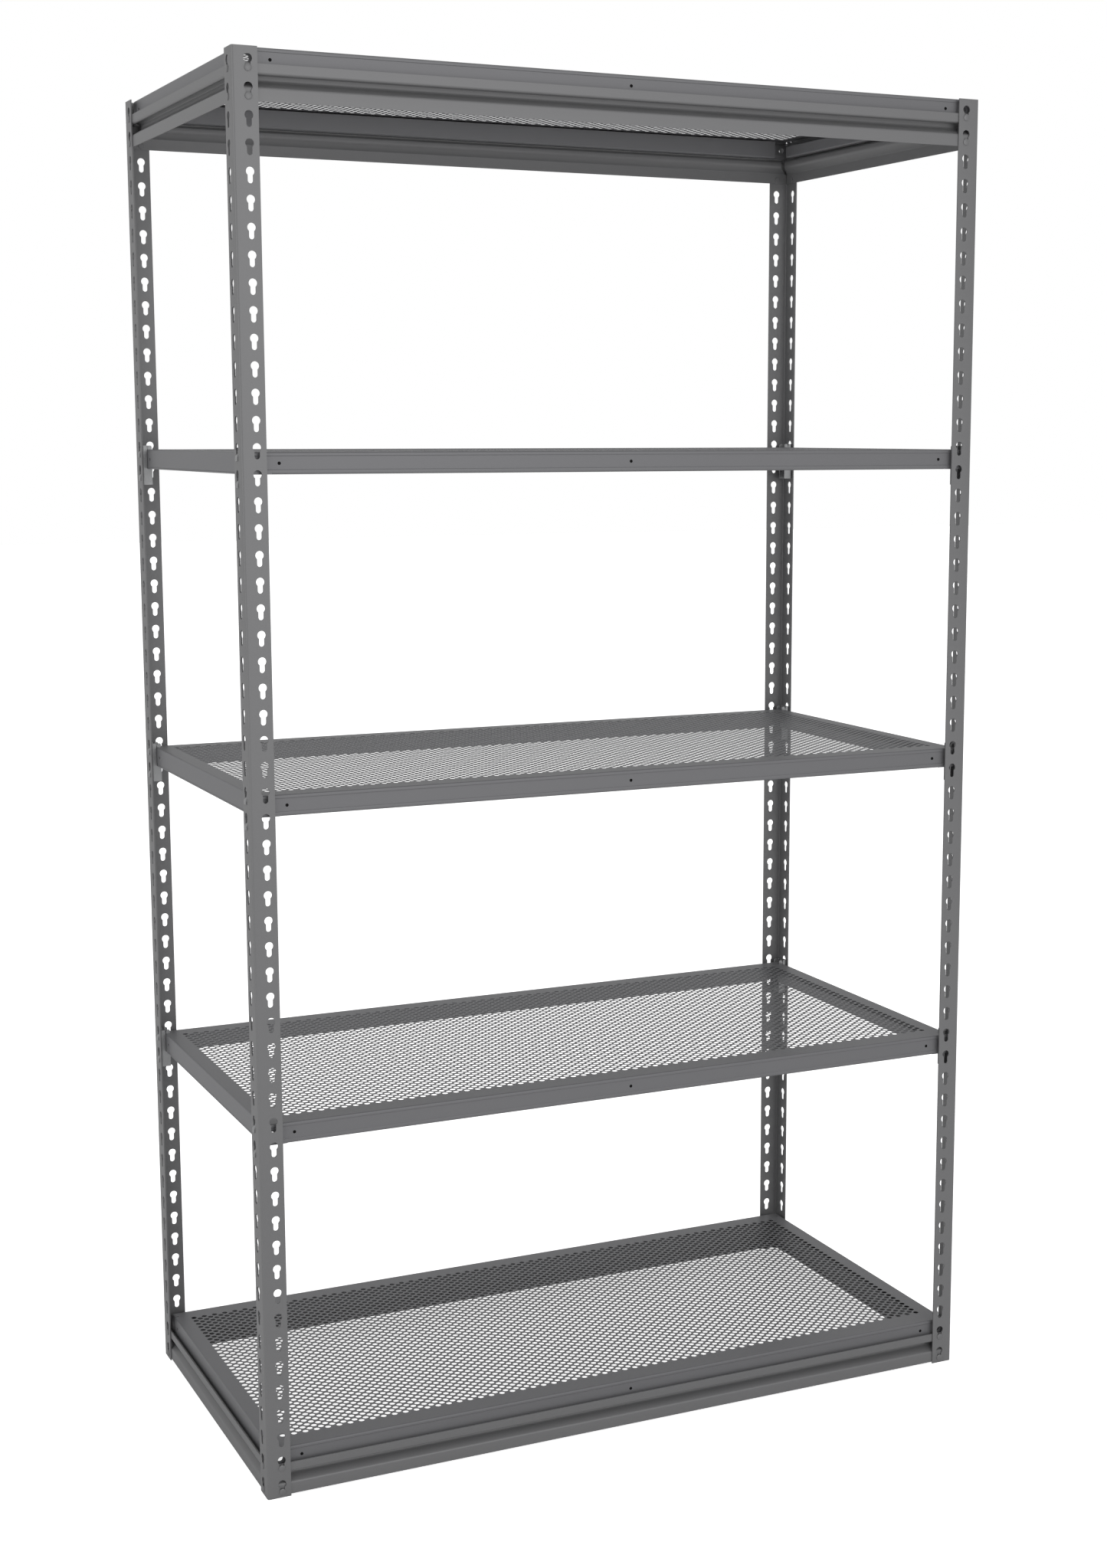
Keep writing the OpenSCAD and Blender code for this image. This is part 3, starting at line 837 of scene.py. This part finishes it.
def pan_side(sizes, pan, notches):
    """A pan's left side: the fold in lengths between the clips' notches, and the flange with its holes."""
    t = sizes.pan_sheet
    bend = pan["bend"]
    fold = ([(bend, -t / 2), (t / 2, -t / 2), (t / 2, -bend)], [bend - t / 2 - MERGE])
    lip_height = 0.019
    return_inset = 0.048
    foot = t / 2 - pan["height"]
    lip = RETURN_WIDTH - t / 2
    under = ([(t / 2, foot + bend), (t / 2, foot), (lip, foot), (lip, lip_height - pan["height"])],
             [bend - t / 2 - MERGE, bend - t / 2])
    bm = bmesh.new()
    start = return_inset - pan["front_gap"]
    end = pan["depth"] + pan["back_gap"] - return_inset
    section = [Vector((p.x, start, p.y)) for p in sheet_section(*under, t)]
    pull(bm, section, Vector((0, end - start, 0)))
    starts = [bend] + [end for _, end in notches]
    ends = [start for start, _ in notches] + [pan["depth"] - bend]
    for start, end in zip(starts, ends):
        section = [Vector((p.x, start, p.y)) for p in sheet_section(*fold, t)]
        pull(bm, section, Vector((0, end - start, 0)))
    flange = bmesh.new()
    outline = [(0, -pan["height"]), (pan["depth"], -pan["height"]), (pan["depth"], -bend), (0, -bend)]
    edges = add_loop(flange, on_side(outline))
    hole_inset = 0.05
    for y in (hole_inset - pan["front_gap"], pan["depth"] + pan["back_gap"] - hole_inset):
        edges += add_loop(flange, on_side(circle((y, -pan["height"] / 2), SIDE_HOLE / 2, HOLE_SIDES)))
    faces = fill_sheet(flange, edges, (-1, 0, 0))
    bmesh.ops.solidify(flange, geom=faces, thickness=t)
    join(bm, flange)
    return bm


def pan_rim(sizes, pan):
    """All four flanges of a pan, with the deck's top at zero height."""
    front = pan_front(sizes, pan, True)
    back = pan_front(sizes, pan, False)
    place(back, Matrix.Translation((0, pan["depth"], 0)) @ Matrix.Diagonal((1, -1, 1, 1)))
    left = pan_side(sizes, pan, wing_notches(sizes, pan))
    right = left.copy()
    place(right, Matrix.Translation((pan["width"], 0, 0)) @ Matrix.Diagonal((-1, 1, 1, 1)))
    for part in (back, left, right):
        join(front, part)
    return front


def hole_shade_plugs(pan):
    """Black plugs in the small holes of a pan's front, each with a low dome: a dark thing put in the holes as
    painted shade, where they show only shade.
    """
    radius = LABEL_HOLE / 2
    dome = 0.0004
    depth = 0.0016
    profile = [(0, -dome), (radius * 0.55, -dome * 0.75), (radius * 0.85, -dome * 0.3), (radius, 0),
               (radius, depth), (0, depth)]
    bm = bmesh.new()
    verts = [bm.verts.new((r, y, 0)) for r, y in profile]
    edges = [bm.edges.new(pair) for pair in zip(verts, verts[1:])]
    bmesh.ops.spin(bm, geom=verts + edges, cent=(0, 0, 0), axis=(0, 1, 0), dvec=(0, 0, 0), angle=2 * math.pi,
                   steps=HOLE_SIDES, use_merge=True, use_normal_flip=False, use_duplicate=False)
    bmesh.ops.remove_doubles(bm, verts=bm.verts[:], dist=MERGE)
    bmesh.ops.recalc_face_normals(bm, faces=bm.faces[:])
    plugs = bmesh.new()
    for x in label_holes(pan):
        plug = bm.copy()
        place(plug, Matrix.Translation((x, FACE_STEP, -pan["height"] / 2)))
        join(plugs, plug)
    bm.free()
    return plugs


class SHELVING_OT_decks(Operator):
    """Make the five perforated deck pans"""

    bl_idname = "shelving.decks"
    bl_label = "Deck pans"
    bl_options = {"REGISTER", "UNDO"}

    def execute(self, context):
        sizes = context.scene.shelving_sizes
        finish = deck_finish(context)
        pan = pan_sizes()
        sheet = deck_sheet(sizes, pan)
        parts = {"rim": pan_rim(sizes, pan)}
        for side in ("left", "right"):
            half = half_of(sheet, pan["width"] / 2, side == "left")
            bmesh.ops.solidify(half, geom=half.faces[:], thickness=sizes.pan_sheet)
            parts[f"deck_{side}"] = half
        sheet.free()
        for shelf in SHELVES:
            low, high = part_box(shelf)
            for part, drawn in parts.items():
                bm = drawn.copy()
                place(bm, Matrix.Translation((low.x, low.y, high.z)))
                make_piece(f"{shelf}_{part}", bm, finish, shelf, [shelf])
        for drawn in parts.values():
            drawn.free()
        return {"FINISHED"}


class SHELVING_OT_shade_plugs(Operator):
    """Make the black plugs in the small holes of the deck pans: painted shade where the holes show only shade"""

    bl_idname = "shelving.plugs"
    bl_label = "Hole plugs"
    bl_options = {"REGISTER", "UNDO"}

    def execute(self, context):
        drawn = hole_shade_plugs(pan_sizes())
        # The plugs and their black finish are painted shade for the dark insides of the small holes
        finish = painted_shade_black("painted_shade_plug")
        for shelf in SHELVES:
            low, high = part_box(shelf)
            bm = drawn.copy()
            place(bm, Matrix.Translation((low.x, low.y, high.z)))
            # Each shelf's plugs are painted shade in its small front holes
            make_piece(f"{shelf}_hole_shade_plugs", bm, finish, shelf)
        drawn.free()
        return {"FINISHED"}


# ---------- clips ----------


def wing_outline(pan, sizes, low, high, start):
    """A wing as (inward from the side plane, up from the clip's top): a mouth and a slot for the pan's flange."""
    end = high.x + HALF_WIDTH
    height = high.z - low.z
    shelf_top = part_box("shelf_2")[1].z
    rise = high.z - shelf_top
    slot_middle = pan["side_gap"] + sizes.pan_sheet / 2
    slot_half = (sizes.pan_sheet + 0.0007) / 2
    mouth_half = 3 * slot_half
    mouth_depth = 0.0045
    slot_bottom = -rise - pan["height"]
    round_tip = 0.0026
    outline = [(start, -height), (end, -height)]
    outline += arc((end - round_tip, -round_tip), round_tip, 0, 90, 6)
    outline += [(slot_middle + mouth_half, 0), (slot_middle + slot_half, -mouth_depth),
                (slot_middle + slot_half, slot_bottom), (slot_middle - slot_half, slot_bottom),
                (slot_middle - slot_half, -mouth_depth), (slot_middle - mouth_half, 0), (start, 0)]
    return outline


def clip_channel(sizes, pan, low, high):
    """The clip's back with its two wings, bent from one sheet: half is drawn, and the other half mirrored."""
    bend = 0.002
    web = sizes.post_sheet + CLIP_SEAT_GAP
    near = sizes.keyhole_inset - sizes.clip_width / 2
    start = web + bend
    bm = bmesh.new()
    outline = wing_outline(pan, sizes, low, high, start)
    fill_sheet(bm, add_loop(bm, on_front(outline, near)), (0, -1, 0))
    fold = [e for e in bm.edges if all(abs(v.co.x - start) < MERGE for v in e.verts)]
    ends = list({v for e in fold for v in e.verts})
    made = bmesh.ops.spin(bm, geom=ends + fold, cent=(start, near + bend, 0), axis=(0, 0, 1), dvec=(0, 0, 0),
                          angle=-math.pi / 2, steps=5, use_merge=False, use_normal_flip=False,
                          use_duplicate=False)
    last = edges_in(made["geom_last"])
    pulled = bmesh.ops.extrude_edge_only(bm, edges=last)["geom"]
    bmesh.ops.translate(bm, verts=verts_in(pulled), vec=(0, sizes.keyhole_inset - near - bend, 0))
    bmesh.ops.recalc_face_normals(bm, faces=bm.faces[:])
    wing = max(bm.faces, key=lambda f: f.calc_center_median().x)
    if wing.normal.y > 0:
        bmesh.ops.reverse_faces(bm, faces=bm.faces[:])
    middle = Vector((0, sizes.keyhole_inset, 0))
    mirrored_copy(bm, Matrix.Translation(middle) @ Matrix.Diagonal((1, -1, 1, 1)) @ Matrix.Translation(-middle))
    bmesh.ops.solidify(bm, geom=bm.faces[:], thickness=sizes.clip_sheet)
    return bm


def clip_hook(sizes):
    """A hook pressed out of the clip's back, through a keyhole and down over the post."""
    width = sizes.keyhole_slot - 0.0014
    web = sizes.post_sheet + CLIP_SEAT_GAP
    top, shoulder, out, hang = 0.0068, 0.0122, 0.0022, 0.00305
    root = web + 0.0003
    play = 0.0002
    slot_round = sizes.keyhole_slot / 2
    foot = -sizes.keyhole_drop - hang
    # A hook is square, so its two lower corners rest on the round bottom of the slot
    seat = slot_round - sizes.keyhole_drop - math.sqrt(slot_round**2 - (width / 2) ** 2)
    outline = [(root, -top), (-out, -shoulder), (-out, foot), (-play, foot), (-play, seat), (root, seat)]
    bm = bmesh.new()
    section = on_front(outline, sizes.keyhole_inset - width / 2)
    pull(bm, section, Vector((0, width, 0)))
    rims = [e for e in bm.edges if all(v.co.x < -play - MERGE or v.co.z > -top - MERGE for v in e.verts)]
    bmesh.ops.bevel(bm, geom=rims, offset=0.0007, offset_type="OFFSET", segments=3, profile=0.5,
                    affect="EDGES", material=-1, clamp_overlap=True)
    return bm


class SHELVING_OT_clips(Operator):
    """Make the twelve zinc clips that carry the middle shelves"""

    bl_idname = "shelving.clips"
    bl_label = "Shelf clips"
    bl_options = {"REGISTER", "UNDO"}

    def execute(self, context):
        sizes = context.scene.shelving_sizes
        finish = clip_finish(context)
        pan = pan_sizes()
        low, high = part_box("clip_2_front_left")
        clip = clip_channel(sizes, pan, low, high)
        for k in (0, 1):
            hook = clip_hook(sizes)
            place(hook, Matrix.Translation((0, 0, -k * sizes.keyhole_pitch)))
            join(clip, hook)
        for level in CLIPPED_SHELVES:
            for corner, (side, end) in CORNERS.items():
                name = f"clip_{level}_{corner}"
                bm = clip.copy()
                place(bm, corner_place(side, end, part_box(name)[1].z))
                make_piece(f"{name}_plate", bm, finish, FRAME_BODY, [name])
        clip.free()
        return {"FINISHED"}


# ---------- stage ----------


def area_lamp(name, place_at, look_at, size, power):
    """A soft rectangular lamp turned towards a point."""
    lamp = bpy.data.lights.new(name, "AREA")
    lamp.shape = "RECTANGLE"
    lamp.size, lamp.size_y = size
    lamp.energy = power
    obj = bpy.data.objects.new(name, lamp)
    obj.location = place_at
    obj.rotation_euler = (Vector(look_at) - Vector(place_at)).to_track_quat("-Z", "Y").to_euler()
    bpy.context.scene.collection.objects.link(obj)
    return obj


def floor_finish():
    """A pale painted floor with a very faint mottle."""
    material, tree = new_material("pale_floor")
    if tree is None:
        return material
    shader = tree.nodes["Principled BSDF"]
    where = tree.nodes.new("ShaderNodeTexCoord").outputs["Object"]
    mottle = spread(tree, noise(tree, where, 2, 3), 0.3, 0.7, 0, 1)
    colour = mix_colours(tree, mottle, (0.93, 0.93, 0.93), (0.96, 0.96, 0.96))
    tree.links.new(colour, shader.inputs["Base Color"])
    shader.inputs["Roughness"].default_value = 0.9
    shader.inputs["Specular IOR Level"].default_value = 0.1
    path = tree.nodes.new("ShaderNodeLightPath")
    glow = tree.nodes.new("ShaderNodeMath")
    glow.operation = "MULTIPLY"
    glow.inputs[1].default_value = FLOOR_GLOW
    tree.links.new(path.outputs["Is Camera Ray"], glow.inputs[0])
    tree.links.new(glow.outputs[0], shader.inputs["Emission Strength"])
    shader.inputs["Emission Color"].default_value = (1, 1, 1, 1)
    return material


def paint_backdrop(tree, sky_light):
    """A white backdrop whose light on the shelving is softer than it looks."""
    light = tree.nodes["Background"]
    light.inputs["Color"].default_value = (1, 1, 1, 1)
    light.inputs["Strength"].default_value = sky_light
    seen = tree.nodes.new("ShaderNodeBackground")
    seen.inputs["Color"].default_value = (1, 1, 1, 1)
    seen.inputs["Strength"].default_value = 1
    path = tree.nodes.new("ShaderNodeLightPath")
    choose = tree.nodes.new("ShaderNodeMixShader")
    tree.links.new(path.outputs["Is Camera Ray"], choose.inputs[0])
    tree.links.new(light.outputs[0], choose.inputs[1])
    tree.links.new(seen.outputs[0], choose.inputs[2])
    tree.links.new(choose.outputs[0], tree.nodes["World Output"].inputs["Surface"])


class SHELVING_OT_stage(Operator):
    """Make the pale floor, the soft light and the camera"""

    bl_idname = "shelving.stage"
    bl_label = "Floor, light and camera"
    bl_options = {"REGISTER", "UNDO"}

    def execute(self, context):
        scene = context.scene
        studio = scene.shelving_studio
        bm = bmesh.new()
        bmesh.ops.create_grid(bm, x_segments=1, y_segments=1, size=30)
        mesh = bpy.data.meshes.new("floor")
        bm.to_mesh(mesh)
        bm.free()
        mesh.materials.append(floor_finish())
        floor = bpy.data.objects.new("floor", mesh)
        scene.collection.objects.link(floor)

        world = bpy.data.worlds.new("even_light")
        world.use_nodes = True
        paint_backdrop(world.node_tree, studio.sky_light)
        scene.world = world
        middle = (0, 0, POST_TOP / 2)
        area_lamp("front_lamp", (0.9, -6.0, 2.4), middle, (3.5, 3.5), studio.front_light)
        area_lamp("left_lamp", (-6.0, -1.2, 2.4), middle, (3.5, 3.5), studio.left_light)

        camera = bpy.data.cameras.new("camera")
        camera.sensor_width = 36
        camera.lens = studio.camera_lens
        camera.shift_x, camera.shift_y = -0.0454, -0.0004
        camera.clip_start, camera.clip_end = 0.05, 100
        eye = bpy.data.objects.new("camera", camera)
        eye.location = studio.camera_place
        eye.rotation_euler = Euler((studio.camera_tilt, 0, studio.camera_heading))
        scene.collection.objects.link(eye)
        scene.camera = eye
        scene.view_settings.view_transform = "Standard"
        scene.view_settings.look = "None"
        return {"FINISHED"}


# ---------- panel ----------


class SHELVING_PT_panel(Panel):
    """Lists the pieces of the shelving and its sizes"""

    bl_label = "Boltless Steel Shelving"
    bl_idname = "SHELVING_PT_panel"
    bl_space_type = "VIEW_3D"
    bl_region_type = "UI"
    bl_category = "Shelving"

    def draw(self, context):
        layout = self.layout
        for operator in PIECES:
            layout.operator(operator.bl_idname, text=operator.bl_label)
        scene = context.scene
        for group in (scene.shelving_sizes, scene.shelving_finishes, scene.shelving_studio):
            box = layout.box()
            for name in group.__annotations__:
                box.prop(group, name)


PIECES = (SHELVING_OT_posts, SHELVING_OT_beams, SHELVING_OT_rivets, SHELVING_OT_decks, SHELVING_OT_shade_plugs,
          SHELVING_OT_clips, SHELVING_OT_stage)
CLASSES = (ShelvingSizes, ShelvingFinishes, ShelvingStudio, *PIECES, SHELVING_PT_panel)


def register():
    for cls in CLASSES:
        bpy.utils.register_class(cls)
    bpy.types.Scene.shelving_sizes = PointerProperty(type=ShelvingSizes)
    bpy.types.Scene.shelving_finishes = PointerProperty(type=ShelvingFinishes)
    bpy.types.Scene.shelving_studio = PointerProperty(type=ShelvingStudio)


def unregister():
    del bpy.types.Scene.shelving_studio
    del bpy.types.Scene.shelving_finishes
    del bpy.types.Scene.shelving_sizes
    for cls in reversed(CLASSES):
        bpy.utils.unregister_class(cls)


def main():
    register()
    bpy.ops.shelving.posts()
    bpy.ops.shelving.beams()
    bpy.ops.shelving.rivets()
    bpy.ops.shelving.decks()
    # The hole plugs are painted shade: dark fillers where the small front holes show only shade
    bpy.ops.shelving.plugs()
    bpy.ops.shelving.clips()
    bpy.ops.shelving.stage()


if __name__ == "__main__":
    main()
